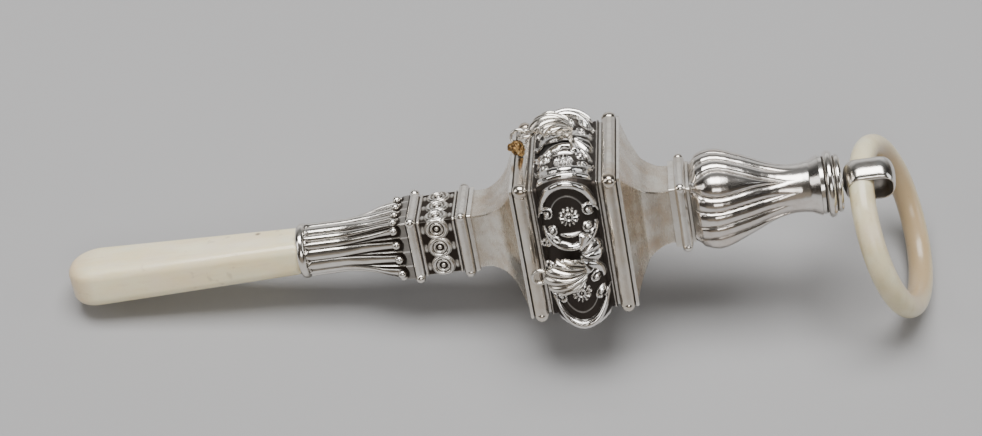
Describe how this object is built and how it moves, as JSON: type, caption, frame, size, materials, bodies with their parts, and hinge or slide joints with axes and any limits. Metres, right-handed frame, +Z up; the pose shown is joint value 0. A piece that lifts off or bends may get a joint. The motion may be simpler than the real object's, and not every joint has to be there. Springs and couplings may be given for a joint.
{
  "type": "baby rattle",
  "caption": "Silver handle rattle: square embossed hub with bell lugs, fluted grip block, pearl teether at one end and a swinging pearl ring at the other.",
  "frame": {"origin": "middle of the bounds in X and Y, on the table (z = 0) under the rattle as it rests", "axes": "+X from the teether end towards the ring end, +Z up; the rattle's long axis rises towards +X and its square hub is rolled onto one lug and one corner"},
  "size_m": [0.1634, 0.0404, 0.0402],
  "materials": {
    "silver": "polished silver, darkened in the hollows",
    "silver_oxidised": "stamped silver sheet with a dark oxidised ground",
    "mother_of_pearl": "smooth glossy cream shell",
    "gilt_metal": "worn gilt, crushed",
    "resin": "dark setting pitch"
  },
  "bodies": {
    "handle": {"teether": "mother_of_pearl", "pitch_bed": "resin", "ferrule_collar": "silver", "fluted_ferrule": "silver", "block_moulding_left": "silver", "block_panel": "silver", "block_moulding_right": "silver", "neck_left": "silver", "hub_plate_left": "silver", "hub_frame_left": "silver", "hub_band": "silver_oxidised", "hub_scrollwork": "silver", "hub_frame_right": "silver", "hub_plate_right": "silver", "lug_top": "silver", "lug_front": "silver", "lug_bottom": "silver", "lug_back": "silver", "neck_right": "silver", "handle_base_moulding": "silver", "baluster_handle": "silver", "end_collar": "silver", "end_cap": "silver"},
    "ring": {"pearl_ring": "mother_of_pearl"},
    "swivel": {"swivel_pin": "silver", "bail": "silver"},
    "top_jump_ring": {"jump_ring_top": "silver"},
    "remnant": {"bell_remnant": "gilt_metal"},
    "back_jump_ring": {"jump_ring_back": "silver"},
    "bell": {"bell_upper_shell": "silver", "bell_lower_shell": "silver"},
    "pea": {"bell_pea": "silver_oxidised"}
  },
  "joints": [
    {"name": "bail_swivel", "type": "hinge", "parent": "handle", "child": "swivel", "pos_m": [0.06178, 0.00014, 0.02782], "axis": [0.9875, 0, 0.1577], "continuous": true},
    {"name": "ring_swing", "type": "hinge", "parent": "swivel", "child": "ring", "pos_m": [0.06492, 0.00014, 0.02913], "axis": [0.1203, 0.9925, 0.0192], "range_deg": [-50, 50]},
    {"name": "top_jump_ring_swing", "type": "hinge", "parent": "handle", "child": "top_jump_ring", "pos_m": [0.00326, 0.00712, 0.03505], "axis": [0.0618, 0.9199, -0.3873], "range_deg": [-30, 30]},
    {"name": "remnant_slide_round", "type": "hinge", "parent": "top_jump_ring", "child": "remnant", "pos_m": [0.00333, 0.00692, 0.0346], "axis": [0.0618, 0.9199, -0.3873], "range_deg": [-25, 40]},
    {"name": "back_jump_ring_swing", "type": "hinge", "parent": "handle", "child": "back_jump_ring", "pos_m": [0.00847, 0.01598, 0.01098], "axis": [0.9875, 0, 0.1577], "range_deg": [-12, 30]},
    {"name": "bell_swing", "type": "hinge", "parent": "back_jump_ring", "child": "bell", "pos_m": [0.00879, 0.01598, 0.009], "axis": [0, 1, 0], "range_deg": [-35, 35]},
    {"name": "pea_rattle", "type": "slide", "parent": "bell", "child": "pea", "axis": [-0.1577, 0, 0.9875], "range_m": [0, 0.0025]}
  ]
}
